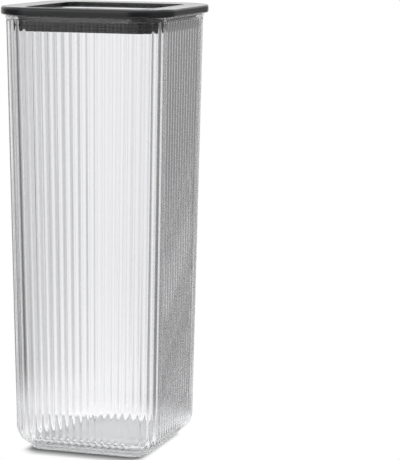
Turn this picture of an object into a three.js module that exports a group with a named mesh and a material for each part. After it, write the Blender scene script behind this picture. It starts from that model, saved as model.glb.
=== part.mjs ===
// A lidded square canister of clear fluted glass: a pressed glass body with a low stacking foot, and a
// push-in lid made of a black frame, a glazed panel, a plug ring and a silicone gasket.
// Millimetres, +Z up. The canister stands on z = 0 and its middle is on the Z axis.
import * as THREE from "three";

// ---- Driving dimensions: the glass body ----
const bodyHeight = 277.8; // table to rim
const rimWidth = 106.8; // across the flats at the rim, over the crests of the flutes
const rimCornerRadius = 21;
const sideDrawIn = 4.4; // how far each side leans in from the rim to the rounded bottom edge
const baseCornerRadius = 20; // where the rounded bottom edge begins
const wall = 3.0; // from the inside face to the bottom of a groove
const floorThickness = 5.5; // in the middle, over the sunk underside
const bottomEdgeRadius = 12.5; // outside, where the walls turn under
const insideEdgeRadius = 9; // inside, where the walls meet the floor
const bottomEdgeLift = 2.2; // from the table to the level where the bottom edge's arc would end
const footInset = 9; // from the foot of the walls in to the foot's own wall
const footLand = 5; // width of the foot's ring, with its rounded edges
const footHollow = 0.8; // how far the underside is sunk inside that ring
const footRounding = 0.6;

// ---- Driving dimensions: the flutes and the rim ----
const flutesPerSide = 19;
const fluteDepth = 0.75;
const rimBandHeight = 2.5; // plain band above the flutes
const rimBandProud = 0.45; // how far that band stands out beyond the crests
const rimRounding = 0.9;
const rimChamferShare = 0.3; // where the middle of that rounding lies, as a share of its radius
const fluteTopRun = 2.0; // length over which a flute rises to its full depth below the band
const fluteFadeTurn = 15; // degrees of the bottom edge over which the flutes fade out
const plainTurn = 12; // degrees of the bottom edge left plain between the flutes and the foot

// ---- Driving dimensions: the lid ----
const frameOverhang = 3.2; // how far the frame stands out beyond the glass band under it
const frameThickness = 5.3;
const frameCornerRadius = 26;
const frameTopRounding = 1.7; // at the outer edge
const frameBottomRounding = 1.4;
const recessRounding = 0.6; // at the edge of the recess
const recessDepth = 2.0;
const panelThickness = 2.0;
const plugDepth = 9.8; // from the rim down to the end of the plug
const plugInset = 4.0; // from the glass at the mouth in to the plug's neck
const plugWall = 2.0; // from the bottom of the gasket's groove to the plug's inside face
const plugFlange = 1.0; // thickness of the flange that keeps the gasket on
const gasketGroove = 1.7; // how deep the groove is cut into the neck
const gasketHeight = 5.2;
const gasketDepth = 2.8; // radial thickness of the gasket's band
const gasketRounding = 0.5;
const gasketLipRoot = 1.3;
const gasketLipTip = 0.6;
const gasketLipLevel = 2.0; // from the gasket's lower face up to the middle of the lip's root
const gasketLipRise = 0.3; // how far the lip's tip stands above its root

// ---- Clearances ----
const seatGap = 0.2; // lid frame to glass rim
const bondGap = 0.1; // film of adhesive between the lid's own pieces
const fitGap = 0.25; // plug ring and panel to the frame round them
const stackGap = 0.9; // foot of another canister to the walls of the recess
const grooveGap = 0.1; // gasket to its groove
const lipGap = 0.3; // gasket lip to the glass

// ---- Facets ----
const stepsPerFlute = 4;
const cornerSteps = 10;
const edgeSteps = 6; // in a quarter of a turn
const recessSteps = 2; // round the edge of the recess
const fadeSteps = 6; // round the fluted part of the bottom edge
const fluteTopLevels = [0, 0.7, 1]; // shares of the way up a flute's rounded top end

// ---- Materials ----
const clearGlass = new THREE.MeshStandardMaterial({
  color: 0xeef4f4,
  roughness: 0.03,
  metalness: 0,
  transparent: true,
  opacity: 0.35,
});
const glazing = clearGlass.clone();
const blackPlastic = new THREE.MeshStandardMaterial({ color: 0x1b1b1e, roughness: 0.42, metalness: 0 });
const plugPlastic = new THREE.MeshStandardMaterial({ color: 0x18181b, roughness: 0.35, metalness: 0 });
const blackSilicone = new THREE.MeshStandardMaterial({ color: 0x141416, roughness: 0.6, metalness: 0 });

const degrees = THREE.MathUtils.degToRad;

// ---- Rounded-square loops ----
// A level is {half, corner, z}: half the width across the flats, the corner radius and the height.
// A place on its outline is a share from 0 to 1 of the way round, anticlockwise from the middle of the
// flat on +X.

// The share of a quarter turn that is flat, taken at the rim: a flute keeps its share at every level.
const rimFlat = rimWidth - 2 * rimCornerRadius;
const flatShare = rimFlat / (rimFlat + (Math.PI / 2) * rimCornerRadius);

// No corner of a level is drawn sharper than this.
const leastCorner = 0.3;

// The point of a level's outline at a share of the way round, moved outwards by `out`, as a THREE.Vector3.
// `tilt` is the angle by which the surface there leans under: the move then goes down as well as out.
function outlinePoint({ half, corner, z }, share, out = 0, tilt = 0) {
  const quarter = Math.floor(share * 4);
  const s = share * 4 - quarter;
  const flatEnd = flatShare / 2;
  const straight = half - corner;
  const radius = corner + out * Math.cos(tilt);
  const p = new THREE.Vector2();
  if (s <= flatEnd) p.set(straight + radius, (s / flatEnd) * straight);
  else if (s >= 1 - flatEnd) p.set(((1 - s) / flatEnd) * straight, straight + radius);
  else {
    const angle = ((s - flatEnd) / (1 - flatShare)) * (Math.PI / 2);
    p.set(straight + radius * Math.cos(angle), straight + radius * Math.sin(angle));
  }
  p.rotateAround(new THREE.Vector2(), quarter * (Math.PI / 2));
  return new THREE.Vector3(p.x, p.y, z - out * Math.sin(tilt));
}

// A loop is a list of {share, point}. A plain loop has points only round its corners.
function plainLoop(level) {
  const loop = [];
  for (let quarter = 0; quarter < 4; quarter++)
    for (let step = 0; step <= cornerSteps; step++) {
      const s = flatShare / 2 + ((1 - flatShare) * step) / cornerSteps;
      const share = (quarter + s) / 4;
      loop.push({ share, point: outlinePoint(level, share) });
    }
  return loop;
}

// A fluted loop: each flute is a round reed, a parabola from groove to groove, its crest on the outline.
function flutedLoop(level, depth, tilt = 0) {
  const loop = [];
  const count = 4 * flutesPerSide * stepsPerFlute;
  for (let i = 0; i < count; i++) {
    const share = i / count;
    const fromCrest = i / stepsPerFlute - Math.round(i / stepsPerFlute);
    loop.push({ share, point: outlinePoint(level, share, -depth * (2 * fromCrest) ** 2, tilt) });
  }
  return loop;
}

// ---- Skins over loops ----
// Triangles between two anticlockwise loops. At each step the loop whose next point comes first moves on.
function zip(a, b, triangles) {
  const shareAt = (loop, i) => loop[i % loop.length].share + Math.floor(i / loop.length);
  const at = (loop, i) => loop[i % loop.length].point;
  let i = 0;
  let j = 0;
  while (i < a.length || j < b.length) {
    const stepA = j >= b.length || (i < a.length && shareAt(a, i + 1) <= shareAt(b, j + 1));
    if (stepA) {
      triangles.push(at(a, i), at(a, i + 1), at(b, j));
      i++;
    } else {
      triangles.push(at(a, i), at(b, j + 1), at(b, j));
      j++;
    }
  }
}

// A fan between a loop and a point on the axis. `up` is true where the cap faces upwards.
function cap(loop, z, up, triangles) {
  const middle = new THREE.Vector3(0, 0, z);
  loop.forEach(({ point }, i) => {
    const next = loop[(i + 1) % loop.length].point;
    if (up) triangles.push(point, next, middle);
    else triangles.push(next, point, middle);
  });
}

function meshOf(name, triangles, material) {
  const geometry = new THREE.BufferGeometry().setFromPoints(triangles);
  geometry.computeVertexNormals();
  const mesh = new THREE.Mesh(geometry, material);
  mesh.name = name;
  return mesh;
}

// A ring over a section: a closed list of levels, run up the outside and down the inside.
function ringMesh(name, section, material) {
  const triangles = [];
  const loops = section.map(plainLoop);
  loops.forEach((loop, i) => zip(loop, loops[(i + 1) % loops.length], triangles));
  return meshOf(name, triangles, material);
}

// A solid whose section starts and ends on the axis: `first` and `last` are the heights of its two middles.
function filledMesh(name, loops, first, last, material) {
  const triangles = [];
  cap(loops[0], first, false, triangles);
  for (let i = 1; i < loops.length; i++) zip(loops[i - 1], loops[i], triangles);
  cap(loops[loops.length - 1], last, true, triangles);
  return meshOf(name, triangles, material);
}

// ---- Glass body ----
const arcStartHeight = bottomEdgeLift + bottomEdgeRadius;
const floorHeight = footHollow + floorThickness;
const fluteTop = bodyHeight - rimBandHeight;
const baseWidth = rimWidth - 2 * sideDrawIn;
const footHalf = baseWidth / 2 - footInset;

// The crests' level at a height: the walls draw in evenly from the rim to the start of the bottom arc.
function crestLevel(z) {
  const up = (z - arcStartHeight) / (bodyHeight - arcStartHeight);
  return {
    half: THREE.MathUtils.lerp(baseWidth, rimWidth, up) / 2,
    corner: THREE.MathUtils.lerp(baseCornerRadius, rimCornerRadius, up),
    z,
  };
}

// A level moved in or out along its own normals, so that it stays parallel to itself.
function offsetLevel({ half, corner, z }, out, newZ = z) {
  return { half: half + out, corner: Math.max(corner + out, leastCorner), z: newZ };
}

// The bottom edge's arc, `turn` radians round from the upright wall.
function arcLevel(turn) {
  const level = crestLevel(arcStartHeight);
  const drop = bottomEdgeRadius * Math.sin(turn);
  return offsetLevel(level, -bottomEdgeRadius * (1 - Math.cos(turn)), arcStartHeight - drop);
}

// The inside face stands behind the grooves by the wall's thickness.
function insideLevel(z) {
  return offsetLevel(crestLevel(z), -fluteDepth - wall);
}

// Where the foot's wall meets the bottom edge's arc, in radians round from the upright wall.
const footTurn = Math.acos(THREE.MathUtils.clamp(1 - footInset / bottomEdgeRadius, 0, 1));
const fadeEnd = Math.max(footTurn - degrees(plainTurn), 0);
const fadeStart = Math.max(fadeEnd - degrees(fluteFadeTurn), 0);

function glassBody() {
  const footTop = offsetLevel(crestLevel(arcStartHeight), -footInset, arcLevel(footTurn).z);
  const loops = [
    plainLoop(offsetLevel(footTop, -footLand, footHollow)),
    plainLoop(offsetLevel(footTop, -footLand + footRounding, 0)),
    plainLoop(offsetLevel(footTop, -footRounding, 0)),
    plainLoop(offsetLevel(footTop, 0, footRounding)),
    plainLoop(footTop),
  ];
  // Up round the bottom edge, where the flutes come in smoothly, then up the walls to the plain band.
  for (let step = 0; step <= fadeSteps; step++) {
    const turn = fadeEnd * (1 - step / fadeSteps);
    const share = 1 - THREE.MathUtils.smoothstep(turn, fadeStart, fadeEnd);
    loops.push(flutedLoop(arcLevel(turn), fluteDepth * share, turn));
  }
  // A flute's top end is rounded: the groove runs out along a quarter of an ellipse.
  for (const rise of fluteTopLevels) {
    const level = crestLevel(fluteTop - fluteTopRun * (1 - rise));
    loops.push(flutedLoop(level, fluteDepth * Math.sqrt(1 - rise ** 2)));
  }
  // The band, the rim and the inside.
  const bandFoot = crestLevel(fluteTop + rimBandProud);
  const rim = crestLevel(bodyHeight);
  const mouth = insideLevel(bodyHeight);
  const rimChamfer = rimChamferShare * rimRounding;
  const edgeRadius = Math.min(insideEdgeRadius, insideLevel(floorHeight).corner);
  const insideArcStart = floorHeight + edgeRadius;
  loops.push(
    plainLoop(offsetLevel(bandFoot, rimBandProud)),
    plainLoop(offsetLevel(rim, rimBandProud, bodyHeight - rimRounding)),
    plainLoop(offsetLevel(rim, rimBandProud - rimChamfer, bodyHeight - rimChamfer)),
    plainLoop(offsetLevel(rim, rimBandProud - rimRounding)),
    plainLoop(offsetLevel(mouth, rimRounding)),
    plainLoop(offsetLevel(mouth, rimChamfer, bodyHeight - rimChamfer)),
    plainLoop(offsetLevel(mouth, 0, bodyHeight - rimRounding)),
    plainLoop(insideLevel(insideArcStart)),
  );
  for (let step = 1; step <= edgeSteps; step++) {
    const turn = (step / edgeSteps) * (Math.PI / 2);
    const inwards = -edgeRadius * (1 - Math.cos(turn));
    const z = insideArcStart - edgeRadius * Math.sin(turn);
    loops.push(plainLoop(offsetLevel(insideLevel(insideArcStart), inwards, z)));
  }
  return filledMesh("glass_body", loops, footHollow, floorHeight, clearGlass);
}

// ---- Lid ----
const frameBottom = bodyHeight + seatGap;
const frameTop = frameBottom + frameThickness;
const recessFloor = frameTop - recessDepth;
const panelTop = recessFloor - bondGap;
const panelBottom = panelTop - panelThickness;
const recessHalf = footHalf + stackGap;
const neckHalf = insideLevel(bodyHeight).half - plugInset;
const rebateHalf = neckHalf + fitGap;
const grooveHalf = neckHalf - gasketGroove;
const plugBottom = bodyHeight - plugDepth;
const gasketBottom = plugBottom + plugFlange + grooveGap;
const gasketTop = gasketBottom + gasketHeight;

// Everything inside the lid's outer edge is parallel to the mouth of the glass.
const mouthCornerCentre = rimWidth / 2 - rimCornerRadius;
function lidLevel(half, z) {
  return { half, corner: half - mouthCornerCentre, z };
}

function lidFrame() {
  const outer = {
    half: rimWidth / 2 + rimBandProud + frameOverhang,
    corner: frameCornerRadius,
    z: frameBottom,
  };
  const section = [];
  // The outer edge, rounded at the bottom and at the top.
  for (let step = 0; step <= edgeSteps; step++) {
    const turn = (step / edgeSteps) * (Math.PI / 2);
    const inwards = frameBottomRounding * (1 - Math.sin(turn));
    section.push(offsetLevel(outer, -inwards, frameBottom + frameBottomRounding * (1 - Math.cos(turn))));
  }
  for (let step = 0; step <= edgeSteps; step++) {
    const turn = (step / edgeSteps) * (Math.PI / 2);
    const inwards = frameTopRounding * (1 - Math.cos(turn));
    section.push(offsetLevel(outer, -inwards, frameTop - frameTopRounding * (1 - Math.sin(turn))));
  }
  // The rounded edge of the recess, its wall, and the rebate that holds the panel and the plug ring.
  for (let step = 0; step <= recessSteps; step++) {
    const turn = (step / recessSteps) * (Math.PI / 2);
    const outwards = recessRounding * (1 - Math.sin(turn));
    section.push(lidLevel(recessHalf + outwards, frameTop - recessRounding * (1 - Math.cos(turn))));
  }
  section.push(
    lidLevel(recessHalf, recessFloor),
    lidLevel(rebateHalf, recessFloor),
    lidLevel(rebateHalf, frameBottom),
  );
  return ringMesh("lid_frame", section, blackPlastic);
}

function lidPanel() {
  const loops = [plainLoop(lidLevel(neckHalf, panelBottom)), plainLoop(lidLevel(neckHalf, panelTop))];
  return filledMesh("lid_panel", loops, panelBottom, panelTop, glazing);
}

function plugRing() {
  const top = panelBottom - bondGap;
  const inside = grooveHalf - plugWall;
  const rounding = plugFlange / 2;
  const section = [
    lidLevel(neckHalf - rounding, plugBottom),
    lidLevel(neckHalf, plugBottom + rounding),
    lidLevel(neckHalf, plugBottom + plugFlange),
    lidLevel(grooveHalf, plugBottom + plugFlange),
    lidLevel(grooveHalf, gasketTop + grooveGap),
    lidLevel(neckHalf, gasketTop + grooveGap),
    lidLevel(neckHalf, top),
    lidLevel(inside, top),
    lidLevel(inside, plugBottom),
  ];
  return ringMesh("plug_ring", section, plugPlastic);
}

function lidGasket() {
  const inside = grooveHalf + grooveGap;
  const outside = inside + gasketDepth;
  const root = gasketBottom + gasketLipLevel;
  const tip = root + gasketLipRise;
  const lipHalf = insideLevel(tip).half - lipGap;
  const section = [
    lidLevel(inside, gasketBottom),
    lidLevel(outside - gasketRounding, gasketBottom),
    lidLevel(outside, gasketBottom + gasketRounding),
    lidLevel(outside, root - gasketLipRoot / 2),
    lidLevel(lipHalf, tip - gasketLipTip / 2),
    lidLevel(lipHalf, tip + gasketLipTip / 2),
    lidLevel(outside, root + gasketLipRoot / 2),
    lidLevel(outside, gasketTop - gasketRounding),
    lidLevel(outside - gasketRounding, gasketTop),
    lidLevel(inside, gasketTop),
  ];
  return ringMesh("lid_gasket", section, blackSilicone);
}

const lid = new THREE.Group();
lid.add(lidFrame(), lidPanel(), plugRing(), lidGasket());

const canister = new THREE.Group();
canister.add(glassBody(), lid);

export default canister;
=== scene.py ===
# %% [markdown]
# # A lidded canister of clear fluted glass
#
# A canister like this is pressed: a gob of molten glass is squeezed between an iron mould, whose wall
# is cut with upright grooves, and a smooth plunger. So the outside is reeded and the inside is plain.
# The black lid is four pieces: a moulded frame, a clear panel, a plug that drops into the mouth and a
# silicone gasket round the plug.
#
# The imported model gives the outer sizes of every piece, and the smaller sizes are named below, in mm.
# This script makes the fine surfaces and the finishes.

# %% Load the fixed frame
import math

import bpy
import numpy as np
from mathutils import Matrix, Vector


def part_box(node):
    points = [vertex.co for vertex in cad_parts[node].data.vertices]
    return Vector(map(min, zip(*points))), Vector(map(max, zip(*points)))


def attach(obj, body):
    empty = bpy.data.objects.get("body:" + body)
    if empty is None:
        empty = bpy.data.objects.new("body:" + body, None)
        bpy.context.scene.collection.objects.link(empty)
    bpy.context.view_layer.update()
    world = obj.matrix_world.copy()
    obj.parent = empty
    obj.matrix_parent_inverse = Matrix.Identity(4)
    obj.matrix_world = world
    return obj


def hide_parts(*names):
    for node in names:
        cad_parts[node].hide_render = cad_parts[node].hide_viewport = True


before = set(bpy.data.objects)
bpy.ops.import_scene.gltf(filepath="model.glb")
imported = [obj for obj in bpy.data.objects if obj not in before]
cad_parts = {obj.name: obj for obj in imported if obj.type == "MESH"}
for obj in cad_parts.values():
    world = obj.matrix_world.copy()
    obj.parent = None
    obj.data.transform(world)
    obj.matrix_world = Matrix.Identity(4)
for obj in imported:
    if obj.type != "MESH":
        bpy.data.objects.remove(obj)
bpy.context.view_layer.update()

MM = 0.001


def in_mm(box):
    """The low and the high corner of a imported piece's box, in mm: the corners in metres over 0.001."""
    return [np.array(corner) / MM for corner in box]


glass_high = in_mm(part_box("glass_body"))[1]
frame_low, frame_high = in_mm(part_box("lid_frame"))
panel_low, panel_high = in_mm(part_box("lid_panel"))
plug_low, plug_high = in_mm(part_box("plug_ring"))
gasket_low, gasket_high = in_mm(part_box("lid_gasket"))
print("the glass goes up to", glass_high.round(2), "mm")
print("the lid frame goes from", frame_low[2].round(2), "to", frame_high[2].round(2), "mm")

# %% [markdown]
# ## One outline for every piece
#
# Every piece of the canister is a rounded square, carried up and down while it grows and shrinks. So
# one function does the whole object: it takes a place on the way round, from 0 to 1, and gives the
# point there. The flats take a fixed share of the way round at every height, so a flute that starts
# on a flat stays on it from rim to foot. The other way, a path cut by a bevel, would round the
# corners for us but wouldn't keep the flutes in their places.

# %% The outline of a rounded square
RIM_HALF = 53.4  # over the crests of the flutes
RIM_CORNER = 21.0
RIM_FLAT = 2 * (RIM_HALF - RIM_CORNER)
FLAT_SHARE = RIM_FLAT / (RIM_FLAT + math.pi / 2 * RIM_CORNER)


def outline(half, corner, share):
    """x and y of rounded squares: a row for each half width and corner radius, a column for each share.

    On a flat, the distance along it is in proportion to the share. Round a corner, the angle is in
    proportion to the share, and the point is the corner's centre plus the radius at that angle. Each
    quarter is the first one turned by 90 degrees.
    """
    half, corner = np.asarray(half, float)[:, None], np.asarray(corner, float)[:, None]
    side = np.floor(share * 4)
    along = share * 4 - side
    end = FLAT_SHARE / 2
    angle = np.clip((along - end) / (1 - FLAT_SHARE), 0, 1) * math.pi / 2
    x = (half - corner) * np.clip((1 - along) / end, 0, 1) + corner * np.cos(angle)
    y = (half - corner) * np.clip(along / end, 0, 1) + corner * np.sin(angle)
    turn = side * math.pi / 2
    return x * np.cos(turn) - y * np.sin(turn), x * np.sin(turn) + y * np.cos(turn)


print("a flat takes", round(FLAT_SHARE, 3), "of each quarter of the way round")


# %% A surface from rows of points
def surface(name, rows, closed=False, first=None, last=None, sharp=30):
    """A mesh over a grid of points in mm, rows by columns by xyz, whose columns go round and meet.

    Each face joins a point, the next one round, and the two above them in the next row. closed joins
    the last row to the first. first and last are the heights of the poles that close an open grid.
    Edges that turn by more than sharp degrees stay crisp.
    """
    count, around = rows.shape[:2]
    points = rows.reshape(-1, 3)
    low = np.arange(count if closed else count - 1)[:, None] * around
    high = (low + around) % (count * around)
    here = np.arange(around)[None, :]
    after = (here + 1) % around
    quads = np.stack([low + here, low + after, high + after, high + here], -1).reshape(-1, 4)
    faces = quads.tolist()
    for pole, start, order in ((first, 0, (1, 0)), (last, (count - 1) * around, (0, 1))):
        if pole is None:
            continue
        middle = len(points)
        points = np.vstack([points, (0, 0, pole)])
        edge = np.stack([start + here[0], start + after[0]], -1)[:, order]
        faces += np.column_stack([edge, np.full(around, middle)]).tolist()
    mesh = bpy.data.meshes.new(name)
    mesh.from_pydata((points * MM).tolist(), [], faces)
    mesh.validate()
    mesh.polygons.foreach_set("use_smooth", np.ones(len(mesh.polygons), bool))
    mesh.set_sharp_from_angle(angle=math.radians(sharp))
    made = bpy.data.objects.new(name, mesh)
    bpy.context.scene.collection.objects.link(made)
    # A face with n corners makes n - 2 triangles.
    print(name, len(mesh.vertices), "points,", len(mesh.loops) - 2 * len(mesh.polygons), "triangles")
    return made


# %% [markdown]
# ## The section of the glass
#
# The real body is one pressing with a wall of about 3 mm and a thick floor. It could be a solid with
# a Solidify modifier, but then wall, floor and rim would all be as thick as each other. So the
# section is drawn once, from the middle of the underside, out over the foot, up the outside, over
# the rim and down the inside to the middle of the floor. Each level on it says how wide the glass is
# there, how round its corners are, how high it is, how deep its flutes are and how far the surface
# has turned under.
#
# Beside a bend stands one more level, a small hold away, so that the flat next to it is shaded flat.

# %% Levels of a section
BODY_HEIGHT = glass_high[2]
BASE_HALF = 49.0  # where the rounded bottom edge begins
BASE_CORNER = 20.0
ARC_RADIUS = 12.5  # of the bottom edge
ARC_START = 14.7  # the height where it begins


class Section:
    """A list of levels: half width, corner radius, height, flute depth and lean, a number each."""

    def __init__(self):
        self.parts = []

    def add(self, half, corner, z, depth=0.0, lean=0.0):
        """Adds one level, or as many as the longest of the arrays given has."""
        columns = np.broadcast_arrays(*(np.asarray(v, float) for v in (half, corner, z, depth, lean)))
        self.parts.append(np.stack([np.atleast_1d(column) for column in columns], -1))
        print("levels so far:", sum(len(part) for part in self.parts))

    def levels(self):
        """Five arrays, one for each number, from the first level to the last."""
        return np.concatenate(self.parts).T


def crest(z):
    """Half width and corner radius over the crests: from base to rim they grow in step with height."""
    up = (np.asarray(z, float) - ARC_START) / (BODY_HEIGHT - ARC_START)
    half = BASE_HALF + (RIM_HALF - BASE_HALF) * up
    return half, BASE_CORNER + (RIM_CORNER - BASE_CORNER) * up


def quarter(steps, start=0.0, end=math.pi / 2):
    """Angles evenly spread from start to end, a quarter turn unless told otherwise, in so many steps."""
    return np.linspace(start, end, steps + 1)


def smooth(t):
    """Smooth step: 3 t squared less 2 t cubed, level at both ends."""
    t = np.clip(t, 0, 1)
    return t * t * (3 - 2 * t)


print("the walls draw in by", round(RIM_HALF - BASE_HALF, 2), "mm a side from rim to bottom edge")

# %% Underside and foot
FOOT_HALF = 40.0
FOOT_CORNER = BASE_CORNER - (BASE_HALF - FOOT_HALF)
FOOT_ROUND = 1.6
FOOT_HOLD = 0.1
HOLLOW = 0.8  # how far the middle of the underside is raised
HOLLOW_HOLD = 1.0
LAND = 5.0  # width of the flat ring that stands on the table

glass = Section()


def foot_level(half, z):
    """A level of the foot: the corner radius shrinks by as much as the half width does."""
    glass.add(half, FOOT_CORNER + np.asarray(half) - FOOT_HALF, z)


ease = np.linspace(0, 1, 7)
foot_level(FOOT_HALF - LAND - HOLLOW_HOLD, HOLLOW)
foot_level(FOOT_HALF - LAND + ease * HOLLOW, HOLLOW * (1 - smooth(ease)))
foot_level(FOOT_HALF - FOOT_ROUND - FOOT_HOLD, 0.0)
turn = quarter(5)
foot_level(FOOT_HALF - FOOT_ROUND * (1 - np.sin(turn)), FOOT_ROUND * (1 - np.cos(turn)))

# %% The fillet between the foot and the rounded bottom edge
FOOT_TURN = math.acos(1 - (BASE_HALF - FOOT_HALF) / ARC_RADIUS)  # how far the arc turns to the foot
FILLET_TURN = FOOT_TURN - math.radians(3)
FILLET_REACH = 0.7  # how far down the foot's wall it begins

# The fillet is a quadratic curve whose middle control point is where arc and foot wall would meet.
bend = np.array([FOOT_HALF, ARC_START - ARC_RADIUS * math.sin(FOOT_TURN)])
wall_end = bend - (0, FILLET_REACH)
arc_end = np.array([
    BASE_HALF - ARC_RADIUS * (1 - math.cos(FILLET_TURN)),
    ARC_START - ARC_RADIUS * math.sin(FILLET_TURN),
])
t = np.linspace(0, 1, 6)[:, None]
fillet = (1 - t) ** 2 * wall_end + 2 * t * (1 - t) * bend + t**2 * arc_end
foot_level(FOOT_HALF, wall_end[1] - FOOT_HOLD)
foot_level(fillet[:, 0], fillet[:, 1])

# %% The rounded bottom edge, on which the flutes fade out
FLUTE_DEPTH = 0.75
FADE_END = FOOT_TURN - math.radians(12)
FADE_START = FADE_END - math.radians(15)
ARC_CLEAR = 0.03  # angle between the fillet's end and the arc's next level
ARC_HOLD = math.radians(2)

turn = np.concatenate([quarter(16, FILLET_TURN - ARC_CLEAR, ARC_HOLD), [0.0]])
inwards = ARC_RADIUS * (1 - np.cos(turn))
height = ARC_START - ARC_RADIUS * np.sin(turn)
fade = 1 - smooth((turn - FADE_START) / (FADE_END - FADE_START))
glass.add(BASE_HALF - inwards, BASE_CORNER - inwards, height, FLUTE_DEPTH * fade, turn)

# %% Straight walls, and the flutes' rounded top ends
BAND_HEIGHT = 2.5
FLUTE_TOP = BODY_HEIGHT - BAND_HEIGHT
FLUTE_RUN = 2.0  # each groove runs out along a quarter of an ellipse this long
WALL_HOLD = 1.5
WALL_FIRST = 40.0  # how far above ARC_START the evenly spread levels begin
END_HOLD = 2.0

even = np.linspace(ARC_START + WALL_FIRST, FLUTE_TOP - FLUTE_RUN - END_HOLD, 5)
height = np.concatenate([[ARC_START + WALL_HOLD], even])
glass.add(*crest(height), height, FLUTE_DEPTH)
turn = quarter(7)
height = FLUTE_TOP - FLUTE_RUN * (1 - np.sin(turn))
glass.add(*crest(height), height, FLUTE_DEPTH * np.cos(turn))

# %% The plain band and the rim
BAND_PROUD = glass_high[0] - RIM_HALF
BAND_CLEAR = 0.05
BAND_STEP = 0.5  # height over which the band comes out
BAND_HOLD = 0.2
RIM_ROUND = 0.9
RIM_HOLD = 0.15
WALL = 3.75  # from the crests to the inside face


def rim_level(out, z):
    """A level at the rim: out is added to the half width and to the corner radius of the crests."""
    half, corner = crest(np.full(np.shape(z), BODY_HEIGHT))
    glass.add(half + out, corner + out, z)


turn = quarter(6)
short, long = RIM_ROUND * (1 - np.cos(turn)), RIM_ROUND * (1 - np.sin(turn))
rim_level(BAND_PROUD * smooth(ease[1:]), FLUTE_TOP + BAND_CLEAR + BAND_STEP * ease[1:])
rim_level(BAND_PROUD, BODY_HEIGHT - RIM_ROUND - BAND_HOLD)
rim_level(BAND_PROUD - short, BODY_HEIGHT - long)
rim_level(BAND_PROUD - RIM_ROUND - RIM_HOLD, BODY_HEIGHT)
rim_level(-WALL + RIM_ROUND + RIM_HOLD, BODY_HEIGHT)
rim_level(-WALL + long, BODY_HEIGHT - short)

# %% Down the inside to the floor
FLOOR = 6.3
INSIDE_RADIUS = 9.0
INSIDE_START = FLOOR + INSIDE_RADIUS
INSIDE_HOLD = 0.5
INSIDE_FIRST = 20.0  # how far below the rim the evenly spread levels begin


def inside_level(half, corner, z):
    """A level of the inside: the wall is taken off the half width and the corner radius."""
    glass.add(half - WALL, corner - WALL, z)


even = np.linspace(BODY_HEIGHT - INSIDE_FIRST, INSIDE_START + WALL_HOLD, 4)
height = np.concatenate([[BODY_HEIGHT - RIM_ROUND - INSIDE_HOLD], even])
inside_level(*crest(height), height)
turn = quarter(10)
half, corner = crest(INSIDE_START)
inwards = INSIDE_RADIUS * (1 - np.cos(turn))
inside_level(half - inwards, corner - inwards, INSIDE_START - INSIDE_RADIUS * np.sin(turn))
inwards = INSIDE_RADIUS + INSIDE_HOLD
inside_level(half - inwards, corner - inwards, FLOOR)

# %% [markdown]
# ## The flutes
#
# A flute is a round reed standing between two narrow grooves. A displacement map could raise it, but
# glass shows every step of a coarse one. So the reeds are in the points themselves. The cross-section
# could be an arc of a circle, but two arcs meet in a knife-sharp groove, and iron moulds and hot
# glass don't make those: the groove comes out rounded. So the depth below the crest is a curve that
# is round on top and levels out in the groove.

# %% The fluted surface
FLUTES = 76
POINTS_PER_FLUTE = 12


def reed(share):
    """Depth below the crest, from 0 on the crest to 1 in the groove.

    With u the distance from the crest in half widths, it is u squared less a quarter of u to the
    eighth, over three quarters, which is level at both ends.
    """
    u = 2 * np.abs(share * FLUTES - np.round(share * FLUTES))
    return (u**2 - u**8 / 4) / 0.75


share = np.arange(FLUTES * POINTS_PER_FLUTE) / (FLUTES * POINTS_PER_FLUTE)
half, corner, height, depth, lean = glass.levels()
# Where the surface has turned under, a move along its normal goes partly downwards, so it narrows the
# outline less: by the cosine of the lean, while the sine of it goes into the height.
sink = depth[:, None] * reed(share)[None, :]
outer_x, outer_y = outline(half, corner, share)
inner_x, inner_y = outline(half - np.cos(lean), corner - np.cos(lean), share)
grid = np.stack([
    outer_x + (inner_x - outer_x) * sink,
    outer_y + (inner_y - outer_y) * sink,
    height[:, None] + np.sin(lean)[:, None] * sink,
], -1)
canister = surface("fluted_glass", grid, first=HOLLOW, last=FLOOR, sharp=60)
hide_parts("glass_body")
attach(canister, "canister")

# %% [markdown]
# ## The lid's pieces
#
# Each of them is a section carried round the square. Everything inside the lid's outer edge is
# parallel to the mouth of the glass, so one number, the centre of the mouth's corner, gives every
# corner radius. A Bevel modifier could round the edges, but all by the same amount. So each sharp
# corner of a section has a small round of its own, because a mould has one and because a round edge
# is what catches the light.

# %% A ring from the corners of its section
CORNER_CENTRE = RIM_HALF - RIM_CORNER
RING_POINTS = 256
RING_SHARE = (np.arange(RING_POINTS) + 0.5) / RING_POINTS
CORNER_STEPS = 4
MOST_CUT = 0.48  # of a side, so that the rounds at its two ends don't meet


def rounded_path(corners):
    """A closed path through corners given as (half width, height, radius), each cut by its own arc.

    The arc touches both sides at a distance of the radius times the tangent of half the turn, and is
    drawn as a quadratic curve whose middle control point is the corner.
    """
    points = np.array([corner[:2] for corner in corners], float)
    t = np.linspace(0, 1, CORNER_STEPS + 1)[:, None]
    path = []
    for i, here in enumerate(points):
        radius = corners[i][2]
        back, on = points[i - 1] - here, points[(i + 1) % len(points)] - here
        reach_back, reach_on = np.linalg.norm(back), np.linalg.norm(on)
        back, on = back / reach_back, on / reach_on
        turned = math.pi - math.acos(np.clip(back @ on, -1, 1))
        cut = min(radius * math.tan(turned / 2), MOST_CUT * reach_back, MOST_CUT * reach_on)
        start, end = here + cut * back, here + cut * on
        path.append((1 - t) ** 2 * start + 2 * t * (1 - t) * here + t**2 * end)
    return np.concatenate(path)


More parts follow.
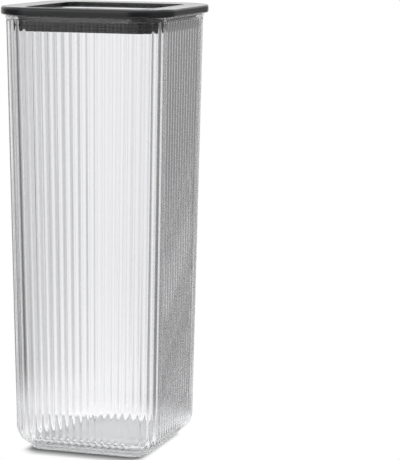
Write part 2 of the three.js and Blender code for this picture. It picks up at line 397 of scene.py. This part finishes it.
def ring(name, path, corner=None, first=None, last=None):
    """The piece whose section is a path of half widths and heights, run anticlockwise.

    Each point of the path becomes a rounded square of its half width at its height.
    """
    half, z = path.T
    corner = half - CORNER_CENTRE if corner is None else corner
    x, y = outline(half, corner, RING_SHARE)
    rows = np.stack([x, y, np.broadcast_to(z[:, None], x.shape)], -1)
    return surface(name, rows, closed=first is None, first=first, last=last)


print("the corners inside the lid are centred", CORNER_CENTRE, "mm from the middle, both ways")

# %% [markdown]
# ### The lid's frame
#
# The frame is the part that a hand grips: its outer edge is rounded above and below, and its inner
# edge drops to the sunk panel, which sits in a rebate under it. Its outer corners are rounder than
# the mouth's, so the points near the outer edge get a corner radius of their own.

# %% Lid frame
FRAME_HALF = frame_high[0]
FRAME_CORNER = 26.0
FRAME_TOP_ROUND = 1.7
FRAME_BOTTOM_ROUND = 1.4
FRAME_HOLD = 0.4
OUTER_ZONE = 3.0  # from the outer edge in, where the outer corner radius holds
PANEL_HALF = panel_high[0]
PANEL_GAP = 0.25
BOND_GAP = 0.1  # between the panel and the frame's lip above it
RECESS_HALF = 40.9
RECESS_FLOOR = panel_high[2] + BOND_GAP
REBATE_HALF = PANEL_HALF + PANEL_GAP

turn = quarter(10)
under = FRAME_BOTTOM_ROUND * (1 - np.sin(turn)), FRAME_BOTTOM_ROUND * (1 - np.cos(turn))
over = FRAME_TOP_ROUND * (1 - np.cos(turn)), FRAME_TOP_ROUND * (1 - np.sin(turn))
path = np.concatenate([
    [[FRAME_HALF - FRAME_BOTTOM_ROUND - FRAME_HOLD, frame_low[2]]],
    np.stack([FRAME_HALF - under[0], frame_low[2] + under[1]], -1),
    np.stack([FRAME_HALF - over[0], frame_high[2] - over[1]], -1),
    [[FRAME_HALF - FRAME_TOP_ROUND - FRAME_HOLD, frame_high[2]]],
    rounded_path([
        (RECESS_HALF, frame_high[2], 0.6),
        (RECESS_HALF, RECESS_FLOOR, 0.15),
        (REBATE_HALF, RECESS_FLOOR, 0.1),
        (REBATE_HALF, frame_low[2], 0.2),
    ]),
])
inwards = FRAME_HALF - path[:, 0]
corner = np.where(inwards < OUTER_ZONE, FRAME_CORNER - inwards, path[:, 0] - CORNER_CENTRE)
lid_frame = ring("frame_ring", path, corner)
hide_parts("lid_frame")

# %% [markdown]
# ### The panel
#
# The panel is a flat sheet, cut to the rounded square and bonded under the frame's lip. Its section
# is only the outer edge, and a pole in the middle of each face closes it.

# %% Panel
PANEL_RIM = 4.0  # width of the outer part of each face, before the points run to the middle

edge = rounded_path([
    (PANEL_HALF - PANEL_RIM, panel_low[2], 0),
    (PANEL_HALF, panel_low[2], 0.2),
    (PANEL_HALF, panel_high[2], 0.2),
    (PANEL_HALF - PANEL_RIM, panel_high[2], 0),
])
# The first and the last corner have no round, so all their points are one, and one of them is enough.
panel = ring("panel_window", edge[CORNER_STEPS:-CORNER_STEPS], first=panel_low[2], last=panel_high[2])
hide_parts("lid_panel")

# %% [markdown]
# ### The plug and its gasket
#
# The plug is the neck that drops into the mouth. Near its foot it has a groove, and a silicone ring
# is stretched into it. The ring is a plain band with one thin lip round it, and only the lip comes
# close to the glass.

# %% Plug
NECK_HALF = plug_high[0]
GROOVE_DEPTH = 1.7
PLUG_WALL = 2.0  # behind the groove
GASKET_GAP = 0.1
GROOVE_HALF = NECK_HALF - GROOVE_DEPTH
PLUG_INSIDE = GROOVE_HALF - PLUG_WALL
FLANGE_TOP = gasket_low[2] - GASKET_GAP
GROOVE_TOP = gasket_high[2] + GASKET_GAP

plug = ring("plug_sleeve", rounded_path([
    (PLUG_INSIDE, plug_low[2], 0.3),
    (NECK_HALF, plug_low[2], 0.45),
    (NECK_HALF, FLANGE_TOP, 0.2),
    (GROOVE_HALF, FLANGE_TOP, 0.1),
    (GROOVE_HALF, GROOVE_TOP, 0.1),
    (NECK_HALF, GROOVE_TOP, 0.2),
    (NECK_HALF, plug_high[2], 0.15),
    (PLUG_INSIDE, plug_high[2], 0.15),
]))
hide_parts("plug_ring")

# %% Gasket
GASKET_INSIDE = GROOVE_HALF + GASKET_GAP
GASKET_BODY = 2.8
GASKET_HALF = GASKET_INSIDE + GASKET_BODY
LIP_HALF = gasket_high[0]
LIP_UP = 2.0
LIP_EDGE = 0.6  # thickness of the lip where it ends
LIP_ROOT = 0.65  # how far above and below LIP it meets the band
LIP = gasket_low[2] + LIP_UP

gasket = ring("gasket_seal", rounded_path([
    (GASKET_INSIDE, gasket_low[2], 0.15),
    (GASKET_HALF, gasket_low[2], 0.6),
    (GASKET_HALF, LIP - LIP_ROOT, 0.3),
    (LIP_HALF, LIP, 0.25),
    (LIP_HALF, LIP + LIP_EDGE, 0.25),
    (GASKET_HALF, LIP + LIP_ROOT, 0.3),
    (GASKET_HALF, gasket_high[2], 0.6),
    (GASKET_INSIDE, gasket_high[2], 0.15),
]))
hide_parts("lid_gasket")

for piece in (lid_frame, panel, plug, gasket):
    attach(piece, "lid")

# %% [markdown]
# ## Finishes
#
# Colours are written as sRGB hex, as a paint chart or a screen gives them, and turned to the linear
# values that the shaders add and multiply. Every pattern reads Object coordinates, which are in
# metres here and stay with the piece when it moves.

# %% Colours
def colour(code):
    """Linear RGBA from an sRGB hex code.

    Over 0.04045 it is the value plus 0.055, over 1.055, to the power 2.4, and below that the value
    over 12.92.
    """
    value = np.array([int(code[i : i + 2], 16) for i in (0, 2, 4)]) / 255
    linear = np.where(value <= 0.04045, value / 12.92, ((value + 0.055) / 1.055) ** 2.4)
    return (*linear.tolist(), 1.0)


WHITE = colour("FFFFFF")
print("white is", WHITE)


# %% Nodes
def node(tree, kind, inputs=None, **settings):
    """Adds a node, sets its properties and its inputs: an output socket is linked, the rest is a value."""
    made = tree.nodes.new(kind)
    for key, value in settings.items():
        setattr(made, key, value)
    for key, value in (inputs or {}).items():
        if isinstance(value, bpy.types.NodeSocket):
            tree.links.new(value, made.inputs[key])
        else:
            made.inputs[key].default_value = value
    return made


def material(name):
    """An empty node material and its output node."""
    made = bpy.data.materials.new(name)
    made.use_nodes = True
    made.node_tree.nodes.clear()
    return made, made.node_tree, made.node_tree.nodes.new("ShaderNodeOutputMaterial")


def per_mm(size):
    """The scale at which a pattern on Object coordinates repeats about every size mm: one over it."""
    return 1 / (size * MM)


# %% [markdown]
# ### Pressed glass
#
# Soda-lime glass has an IOR of 1.52 and is nearly colourless, with a breath of green where it is
# thick. Pressing and fire-polishing leave its faces bright but not optically flat: they swim a little
# over a few centimetres, and that swimming is what tells the eye it is glass and not acrylic. The
# underside is ground, so it is dull.

# %% Glass surface
GLASS_IOR = 1.52
SWELL = 28  # mm from one swell to the next
SKIN = 5  # mm across a patch of polish
GROUND = 0.4  # roughness of the underside
GROUND_UP_TO = 0.85  # mm above the table
POLISHED_FROM = 1.5

pressed_glass, tree, out = material("pressed soda-lime glass")
place = node(tree, "ShaderNodeTexCoord").outputs["Object"]
level = node(tree, "ShaderNodeSeparateXYZ", {0: place}).outputs["Z"]
swim = node(tree, "ShaderNodeTexNoise", {"Vector": place, "Scale": per_mm(SWELL), "Detail": 1.0})
skin = node(tree, "ShaderNodeTexNoise", {"Vector": place, "Scale": per_mm(SKIN), "Detail": 2.0})
wave = node(tree, "ShaderNodeBump", {
    "Height": swim.outputs["Fac"], "Strength": 1.0, "Distance": 0.02 * MM,
})
fine = node(tree, "ShaderNodeBump", {
    "Height": skin.outputs["Fac"], "Strength": 1.0, "Distance": 0.0008 * MM,
    "Normal": wave.outputs["Normal"],
})
polish = node(tree, "ShaderNodeMapRange", {"Value": skin.outputs["Fac"], "To Min": 0.0, "To Max": 0.03})
ground = node(tree, "ShaderNodeMapRange", {
    "Value": level, "From Min": GROUND_UP_TO * MM, "From Max": POLISHED_FROM * MM,
    "To Min": GROUND, "To Max": 0.0,
}, interpolation_type="SMOOTHSTEP")
shine = node(tree, "ShaderNodeMath", {
    0: polish.outputs["Result"], 1: ground.outputs["Result"],
}, operation="MAXIMUM")
clear = node(tree, "ShaderNodeBsdfPrincipled", {
    "Base Color": colour("FEFEFF"),
    "Transmission Weight": 1.0,
    "IOR": GLASS_IOR,
    "Roughness": shine.outputs["Value"],
    "Normal": fine.outputs["Normal"],
})
canister.data.materials.append(pressed_glass)
print("ground below", GROUND_UP_TO, "mm, polished from", POLISHED_FROM, "mm")

# %% [markdown]
# ### Light inside and through the glass
#
# Light that is trapped in the wall and runs along it for centimetres loses more than light that only
# crosses it, and a weak absorption inside the glass gives that: the foot and the corners turn grey
# while the flat walls stay clear.
#
# Real glass bends the light of a lamp on to the table in bright and dark lines, which take very many
# samples to settle. So lamps are let straight through instead. Only the steep sides of the foot stop
# them, because there real glass sends the light away sideways and leaves a thin dark line where the
# foot meets the table.

# %% Glass depth and lamps
ABSORBED = (0.5, 0.505, 0.51, 1)
ABSORPTION = 12.0  # per metre of glass, times what the colour lacks of white
DARK_UP_TO = 2.0  # mm above the table, below which steep sides stop the lamps
CLEAR_FROM = 8.0
STEEP_BELOW = 0.97  # upright share of a normal
LEVEL_FROM = 0.995

facing = node(tree, "ShaderNodeNewGeometry").outputs["Normal"]
upright = node(tree, "ShaderNodeMath", {
    0: node(tree, "ShaderNodeSeparateXYZ", {0: facing}).outputs["Z"],
}, operation="ABSOLUTE")
over_foot = node(tree, "ShaderNodeMapRange", {
    "Value": level, "From Min": DARK_UP_TO * MM, "From Max": CLEAR_FROM * MM,
}, interpolation_type="SMOOTHSTEP")
level_face = node(tree, "ShaderNodeMapRange", {
    "Value": upright.outputs["Value"], "From Min": STEEP_BELOW, "From Max": LEVEL_FROM,
}, interpolation_type="SMOOTHSTEP")
passing = node(tree, "ShaderNodeMath", {
    0: over_foot.outputs["Result"], 1: level_face.outputs["Result"],
}, operation="MAXIMUM")
passed = node(tree, "ShaderNodeMix", {
    "Factor": passing.outputs["Value"], "A": colour("202020"), "B": colour("FAFBFB"),
}, data_type="RGBA")
lamp_way = node(tree, "ShaderNodeBsdfTransparent", {"Color": passed.outputs["Result"]})
either = node(tree, "ShaderNodeMixShader", {
    0: node(tree, "ShaderNodeLightPath").outputs["Is Shadow Ray"],
    1: clear.outputs["BSDF"],
    2: lamp_way.outputs["BSDF"],
})
loss = node(tree, "ShaderNodeVolumeAbsorption", {"Color": ABSORBED, "Density": ABSORPTION})
tree.links.new(either.outputs["Shader"], out.inputs["Surface"])
tree.links.new(loss.outputs["Volume"], out.inputs["Volume"])
print(pressed_glass.name, "has", len(tree.nodes), "nodes")

# %% [markdown]
# ### The clear panel
#
# The panel is acrylic sheet, rolled or cast between plates, so it is flatter than the body: only the
# faintest waviness is left, and fine wipe marks that come and go over a few centimetres.

# %% Panel material
ACRYLIC_IOR = 1.49
FLOW = 35  # mm from one wave to the next

clear_sheet, tree, out = material("clear acrylic sheet")
place = node(tree, "ShaderNodeTexCoord").outputs["Object"]
flow = node(tree, "ShaderNodeTexNoise", {"Vector": place, "Scale": per_mm(FLOW), "Detail": 1.0})
wave = node(tree, "ShaderNodeBump", {
    "Height": flow.outputs["Fac"], "Strength": 1.0, "Distance": 0.02 * MM,
})
wiped = node(tree, "ShaderNodeMapRange", {"Value": flow.outputs["Fac"], "To Min": 0.01, "To Max": 0.04})
clear = node(tree, "ShaderNodeBsdfPrincipled", {
    "Base Color": colour("F6F9F9"),
    "Transmission Weight": 1.0,
    "IOR": ACRYLIC_IOR,
    "Roughness": wiped.outputs["Result"],
    "Normal": wave.outputs["Normal"],
})
lamp_way = node(tree, "ShaderNodeBsdfTransparent", {"Color": colour("ECF0F0")})
either = node(tree, "ShaderNodeMixShader", {
    0: node(tree, "ShaderNodeLightPath").outputs["Is Shadow Ray"],
    1: clear.outputs["BSDF"],
    2: lamp_way.outputs["BSDF"],
})
tree.links.new(either.outputs["Shader"], out.inputs["Surface"])
panel.data.materials.append(clear_sheet)
print(clear_sheet.name, "has", len(tree.nodes), "nodes")

# %% [markdown]
# ### Black mouldings and silicone
#
# The frame and the plug are moulded ABS. A steel mould leaves a satin skin with a very fine grain;
# hands then polish it unevenly, so the roughness drifts over a few centimetres. Silicone is duller
# and softer to the eye, because its skin is rougher still.

# %% Black materials
DRIFT = 22  # mm over which the polish comes and goes


def moulded_black(name, shades, polish, grain, grain_height):
    """A black moulding: two shades, the roughness where it is polished and where not, a grain in mm.

    A slow noise mixes the shades and the roughness, and a fine one raises the grain.
    """
    made, tree, out = material(name)
    place = node(tree, "ShaderNodeTexCoord").outputs["Object"]
    drift = node(tree, "ShaderNodeTexNoise", {"Vector": place, "Scale": per_mm(DRIFT), "Detail": 3.0})
    speck = node(tree, "ShaderNodeTexNoise", {"Vector": place, "Scale": per_mm(grain), "Detail": 2.0})
    tint = node(tree, "ShaderNodeMix", {
        "Factor": drift.outputs["Fac"], "A": colour(shades[0]), "B": colour(shades[1]),
    }, data_type="RGBA")
    worn = node(tree, "ShaderNodeMapRange", {
        "Value": drift.outputs["Fac"], "To Min": polish[0], "To Max": polish[1],
    })
    relief = node(tree, "ShaderNodeBump", {
        "Height": speck.outputs["Fac"], "Strength": 1.0, "Distance": grain_height * MM,
    })
    skin = node(tree, "ShaderNodeBsdfPrincipled", {
        "Base Color": tint.outputs["Result"],
        "Roughness": worn.outputs["Result"],
        "Normal": relief.outputs["Normal"],
    })
    tree.links.new(skin.outputs["BSDF"], out.inputs["Surface"])
    print(name, "has", len(tree.nodes), "nodes")
    return made


# The grain is 0.6 to 0.8 mm here, coarser than a real mould's 0.1 mm, so that it shows at all.
for piece, finish in (
    (lid_frame, ("moulded ABS, satin", ("0F1013", "141518"), (0.16, 0.26), 0.6, 0.003)),
    (plug, ("moulded ABS, plain", ("0C0D0F", "111214"), (0.28, 0.4), 0.6, 0.004)),
    (gasket, ("silicone rubber", ("0A0B0D", "101113"), (0.46, 0.58), 0.8, 0.006)),
):
    piece.data.materials.append(moulded_black(*finish))

# %% [markdown]
# ## Table and studio
#
# Clear glass has no colour of its own: it shows what is round it. On a white ground it would vanish
# but for the darker things that it bends into its edges. So the room is white straight behind the
# canister and grey to its sides: rays that the reeds throw wide meet the grey, and draw the grey
# lines. The camera itself sees only white, and the table keeps the shadow of the foot. An image of a
# studio would do the same, but a short table of shades is easier to change.

# %% The studio's pieces and its kinds of ray
BACK = math.radians(108.0)  # the azimuth that lies straight behind the canister from the camera
scene = bpy.context.scene


def stage_mesh(name, points, faces):
    """A mesh object of the studio, which isn't part of the canister."""
    mesh = bpy.data.meshes.new(name)
    mesh.from_pydata(points, [], faces)
    made = bpy.data.objects.new(name, mesh)
    scene.collection.objects.link(made)
    print(name, "spans", [round(size, 2) for size in made.dimensions], "m")
    return made


def ray_kinds(tree):
    """Two outputs: 1 for rays from the camera, and 1 for rays off a glossy surface or through glass."""
    ways = node(tree, "ShaderNodeLightPath")
    bent = node(tree, "ShaderNodeMath", {
        0: ways.outputs["Is Glossy Ray"], 1: ways.outputs["Is Transmission Ray"],
    }, operation="MAXIMUM")
    return ways.outputs["Is Camera Ray"], bent.outputs["Value"]


# %% Shades of the room
# How light the room is at each angle from straight behind the canister, in degrees, positive to the
# left.
ROOM = [
    (-180, 0.15), (-150, 0.15), (-128, 0.4), (-60, 0.22), (-38, 0.28), (-14, 1.0), (15, 1.0),
    (40, 0.75), (70, 0.15), (105, 0.15), (130, 0.75), (155, 0.75), (172, 0.15), (180, 0.15),
]


def room_shade(tree):
    """The shade in the direction of each place, read off the table by the angle round the canister.

    The angle is the arc tangent of the place's part to the left over its part to the back. Those two
    are returned as well, for a direction of length 1.
    """
    place = node(tree, "ShaderNodeTexCoord").outputs["Object"]
    flat = node(tree, "ShaderNodeVectorMath", {0: place, 1: (1, 1, 0)}, operation="MULTIPLY")
    way = node(tree, "ShaderNodeVectorMath", {0: flat.outputs["Vector"]}, operation="NORMALIZE")
    ahead, leftwards = (
        node(tree, "ShaderNodeVectorMath", {
            0: way.outputs["Vector"], 1: direction,
        }, operation="DOT_PRODUCT").outputs["Value"]
        for direction in ((math.cos(BACK), math.sin(BACK), 0), (-math.sin(BACK), math.cos(BACK), 0))
    )
    angle = node(tree, "ShaderNodeMath", {0: leftwards, 1: ahead}, operation="ARCTAN2")
    round_share = node(tree, "ShaderNodeMapRange", {
        "Value": angle.outputs["Value"], "From Min": -math.pi, "From Max": math.pi,
    })
    table = node(tree, "ShaderNodeValToRGB", {"Fac": round_share.outputs["Result"]})
    table.color_ramp.interpolation = "EASE"
    stops = table.color_ramp.elements
    for degrees, shade in ROOM[1:-1]:
        stops.new((degrees + 180) / 360).color = (shade, shade, shade, 1)
    stops[0].color = stops[-1].color = (ROOM[0][1],) * 3 + (1,)
    return table.outputs["Color"], ahead, leftwards


print("the room has", len(ROOM), "shades, from", min(shade for _, shade in ROOM), "to white")

# %% [markdown]
# ### The table top
#
# The table is white laminate, drawn as a disc 8 m wide. Near the foot it is a matt surface that takes the
# canister's shadow, and under the canister it carries a painted glow of light. Further off, the camera
# sees it as plain white, and rays bent by the glass see it turn from white to the shades of the room. One
# shader does all of it, because it can tell the kinds of ray apart, and the canister's own light stays the
# same.

# %% The table's measure of the foot
CORNER_CUT = 0.78  # share of the distance from the middle, which rounds the corners


def square_way(tree, place):
    """How far each place is from the middle, as the half width of the rounded square through it.

    It is the greatest of the x part, the y part and the corner cut times the distance.
    """
    parts = node(tree, "ShaderNodeVectorMath", {0: place}, operation="ABSOLUTE").outputs["Vector"]
    parts = node(tree, "ShaderNodeSeparateXYZ", {0: parts}).outputs
    flats = node(tree, "ShaderNodeMath", {0: parts["X"], 1: parts["Y"]}, operation="MAXIMUM")
    length = node(tree, "ShaderNodeVectorMath", {0: place}, operation="LENGTH").outputs["Value"]
    corners = node(tree, "ShaderNodeMath", {0: length, 1: CORNER_CUT}, operation="MULTIPLY")
    return node(tree, "ShaderNodeMath", {
        0: flats.outputs["Value"], 1: corners.outputs["Value"],
    }, operation="MAXIMUM").outputs["Value"]


ROUND_POINTS = 96
TABLE_RADIUS = 4.0
TABLE_DROP = 0.05  # mm, so that the foot doesn't share its plane
turn = np.linspace(0, 2 * math.pi, ROUND_POINTS + 1)[:-1]
circle = np.stack([np.cos(turn), np.sin(turn), np.zeros(ROUND_POINTS)], -1)
rim = circle * TABLE_RADIUS - (0, 0, TABLE_DROP * MM)
table = stage_mesh("table_top", rim.tolist(), [list(range(ROUND_POINTS))])

# %% The table under and beside the foot
GLOW = 0.3  # stands in for the room's light that real glass lets down on to the table under it
GLOW_FROM, GLOW_TO = 0.026, 0.034  # metres from the middle, by the square measure

laminate, tree, out = material("white laminate")
place = node(tree, "ShaderNodeTexCoord").outputs["Object"]
square = square_way(tree, place)
matt = node(tree, "ShaderNodeBsdfDiffuse", {"Color": (0.9, 0.9, 0.9, 1)})
glow = node(tree, "ShaderNodeMapRange", {
    "Value": square, "From Min": GLOW_FROM, "From Max": GLOW_TO, "To Min": GLOW, "To Max": 0.0,
}, interpolation_type="SMOOTHSTEP")
lift = node(tree, "ShaderNodeEmission", {"Color": WHITE, "Strength": glow.outputs["Result"]})
near = node(tree, "ShaderNodeAddShader", {0: matt.outputs["BSDF"], 1: lift.outputs["Emission"]})
table.data.materials.append(laminate)
print("the matt table glows up to", GLOW_TO, "m from the middle")

# %% The table further off, as bent rays see it
# Bent rays see the table fade from white to the room's shades. These are metres from the middle: where
# the fade begins, and where it ends to the back and the right, to the left, and to the front.
FADE_FROM = 0.05
FADE_BACK = 0.17
FADE_LEFT = 0.3  # further, because light comes in from the left as well
FADE_FRONT = 0.8
LEFT_FULL = 0.7  # the part to the left at which the fade is the left's alone
FRONT_FULL, FRONT_END = -0.9, -0.6  # the parts ahead between which the front's fade gives way

seen, bent = ray_kinds(tree)
tone, ahead, leftwards = room_shade(tree)
away = node(tree, "ShaderNodeVectorMath", {0: place}, operation="LENGTH").outputs["Value"]
side = node(tree, "ShaderNodeMapRange", {
    "Value": leftwards, "From Min": 0.0, "From Max": LEFT_FULL,
    "To Min": FADE_BACK, "To Max": FADE_LEFT,
}, interpolation_type="SMOOTHSTEP")
reach = node(tree, "ShaderNodeMapRange", {
    "Value": ahead, "From Min": FRONT_FULL, "From Max": FRONT_END,
    "To Min": FADE_FRONT, "To Max": side.outputs["Result"],
}, interpolation_type="SMOOTHSTEP")
far = node(tree, "ShaderNodeMapRange", {
    "Value": away, "From Min": FADE_FROM, "From Max": reach.outputs["Result"],
}, interpolation_type="SMOOTHSTEP")
far_bent = node(tree, "ShaderNodeMath", {0: bent, 1: far.outputs["Result"]}, operation="MULTIPLY")
shade = node(tree, "ShaderNodeMix", {
    "Factor": far_bent.outputs["Value"], "A": WHITE, "B": tone,
}, data_type="RGBA")
sweep = node(tree, "ShaderNodeEmission", {"Color": shade.outputs["Result"], "Strength": 1.0})
print("the fade ends", FADE_BACK, "to", FADE_FRONT, "m from the middle")

# %% Where the matt part ends
# The light comes from behind, so the foot's shadow falls forwards: it is the foot's square, moved to
# the front and a little narrower, because light comes in from the sides as well.
SHADOW_NARROWER = 1.1
SHADOW_FORWARDS = 8.0  # mm
SHADOW_FROM, SHADOW_TO = 0.039, 0.047  # metres, by the square measure
BENT_FROM, BENT_TO = 0.036, 0.042

forwards = node(tree, "ShaderNodeVectorMath", {
    0: place, 1: (SHADOW_NARROWER, 1, 1), 2: (0, SHADOW_FORWARDS * MM, 0),
}, operation="MULTIPLY_ADD").outputs["Vector"]
amounts = []
for kind, measure, start, end in (
    (seen, square_way(tree, forwards), SHADOW_FROM, SHADOW_TO),
    (bent, square, BENT_FROM, BENT_TO),
):
    outside = node(tree, "ShaderNodeMapRange", {
        "Value": measure, "From Min": start, "From Max": end,
    }, interpolation_type="SMOOTHSTEP")
    amounts.append(node(tree, "ShaderNodeMath", {
        0: kind, 1: outside.outputs["Result"],
    }, operation="MULTIPLY").outputs["Value"])
amount = node(tree, "ShaderNodeMath", {0: amounts[0], 1: amounts[1]}, operation="ADD")
whole = node(tree, "ShaderNodeMixShader", {
    0: amount.outputs["Value"], 1: near.outputs["Shader"], 2: sweep.outputs["Emission"],
})
tree.links.new(whole.outputs["Shader"], out.inputs["Surface"])
print(laminate.name, "has", len(tree.nodes), "nodes")

# %% [markdown]
# ### Room light and walls
#
# A real studio is a big room with pale walls, and their light fills every shadow a little. The world
# gives that, at two thirds of white. Round the canister stands a wall that only bent and mirrored
# rays see. Low down it carries on the table's shades, and higher up it is white, so that what lies
# flat mirrors white and stays bright.

# %% Room light
ROOM_LIGHT = 0.66

world = bpy.data.worlds.new("studio")
scene.world = world
world.use_nodes = True
tree = world.node_tree
tree.nodes.clear()
out = tree.nodes.new("ShaderNodeOutputWorld")
# Rays from the camera and bent rays see it as white, and all others get ROOM_LIGHT.
seen, bent = ray_kinds(tree)
either = node(tree, "ShaderNodeMath", {0: seen, 1: bent}, operation="ADD")
strength = node(tree, "ShaderNodeMapRange", {
    "Value": either.outputs["Value"], "To Min": ROOM_LIGHT, "To Max": 1.0,
})
backdrop = node(tree, "ShaderNodeBackground", {
    "Color": WHITE, "Strength": strength.outputs["Result"],
})
tree.links.new(backdrop.outputs["Background"], out.inputs["Surface"])
print("the room's light is", ROOM_LIGHT, "of white")

# %% Walls
WALL_AWAY = 1.9
WALL_TOP = 1.3
GREY_UP_TO = 0.3
WHITE_FROM = 0.6

foot = circle * WALL_AWAY
points = np.concatenate([foot, foot + (0, 0, WALL_TOP)])
here = np.arange(ROUND_POINTS)
after = (here + 1) % ROUND_POINTS
quads = np.stack([here, after, ROUND_POINTS + after, ROUND_POINTS + here], -1)
walls = stage_mesh("studio_wall", points.tolist(), quads.tolist())
walls.visible_camera = False
walls.visible_diffuse = False
walls.visible_shadow = False

paint, tree, out = material("grey studio wall")
place = node(tree, "ShaderNodeTexCoord").outputs["Object"]
height = node(tree, "ShaderNodeSeparateXYZ", {0: place}).outputs["Z"]
top = node(tree, "ShaderNodeMapRange", {
    "Value": height, "From Min": GREY_UP_TO, "From Max": WHITE_FROM,
}, interpolation_type="SMOOTHSTEP")
shade = node(tree, "ShaderNodeMix", {
    "Factor": top.outputs["Result"], "A": room_shade(tree)[0], "B": WHITE,
}, data_type="RGBA")
tone = node(tree, "ShaderNodeEmission", {"Color": shade.outputs["Result"], "Strength": 1.0})
tree.links.new(tone.outputs["Emission"], out.inputs["Surface"])
walls.data.materials.append(paint)

# %% [markdown]
# ### Lamps
#
# Three softboxes light the canister: a wide one overhead, one behind, whose light rakes over the
# black frame and throws the foot's shadow forwards, and a weak one at the front left, for a soft line
# along the frame's round edge. Area lamps are used because their size sets how soft a shadow's edge is.

# %% Softboxes
def round_about(degrees, away, up):
    """A place so many metres away and up, at an angle to the left of straight behind the canister."""
    way = BACK + math.radians(degrees)
    return away * math.cos(way), away * math.sin(way), up


def softbox(name, position, target, width, height, power):
    """A rectangular lamp at a position, turned to face a height on the canister's axis."""
    lamp = bpy.data.lights.new(name, "AREA")
    lamp.shape = "RECTANGLE"
    lamp.size, lamp.size_y = width, height
    lamp.energy = power
    made = bpy.data.objects.new(name, lamp)
    scene.collection.objects.link(made)
    made.location = position
    towards = Vector((0, 0, target)) - Vector(position)
    made.rotation_euler = towards.to_track_quat("-Z", "Y").to_euler()
    made.visible_camera = False
    print(name, width, "by", height, "m,", power, "W")


overhead = (0.1, 0.1, 1.5)
softbox("top_softbox", overhead, target=0.1, width=1.4, height=1.4, power=11.5)
softbox("back_softbox", round_about(0, 1.8, 0.95), target=0.28, width=2.2, height=0.8, power=9.0)
softbox("left_window", round_about(141, 1.7, 0.6), target=0.28, width=1.2, height=0.5, power=2.8)

# %% How far rays are followed
# Glass passes light to and fro between its reeds many times before it gets out.
scene.cycles.max_bounces = 20
scene.cycles.glossy_bounces = 10
scene.cycles.transmission_bounces = 20
# Bent light is not followed back to the lamps: it would only add bright specks to the foot's shadow.
scene.cycles.caustics_refractive = False
scene.cycles.caustics_reflective = False
print("rays are followed for", scene.cycles.max_bounces, "bounces")

# %% [markdown]
# ## Camera
#
# A long lens from a little above the rim's height: the canister's upright sides then lean together
# only as much as its own draft makes them.

# %% Camera
lens = bpy.data.cameras.new("camera")
lens.sensor_fit = "HORIZONTAL"
lens.sensor_width = 36.0
lens.lens = 192.0
lens.shift_x = -0.00125
lens.clip_start = 0.05
lens.clip_end = 50.0
camera = bpy.data.objects.new("camera", lens)
scene.collection.objects.link(camera)
stand = (0.4778, -1.2764, 0.3453)
swing, dip, roll = math.radians(17.96), math.radians(8.617), math.radians(0.434)
camera.matrix_world = (
    Matrix.Translation(stand)
    @ Matrix.Rotation(swing, 4, "Z")
    @ Matrix.Rotation(math.pi / 2 - dip, 4, "X")
    @ Matrix.Rotation(roll, 4, "Z")
)
scene.camera = camera
scene.view_settings.view_transform = "Standard"
print("the camera stands", round(Vector(stand).length, 2), "m from the middle of the foot")
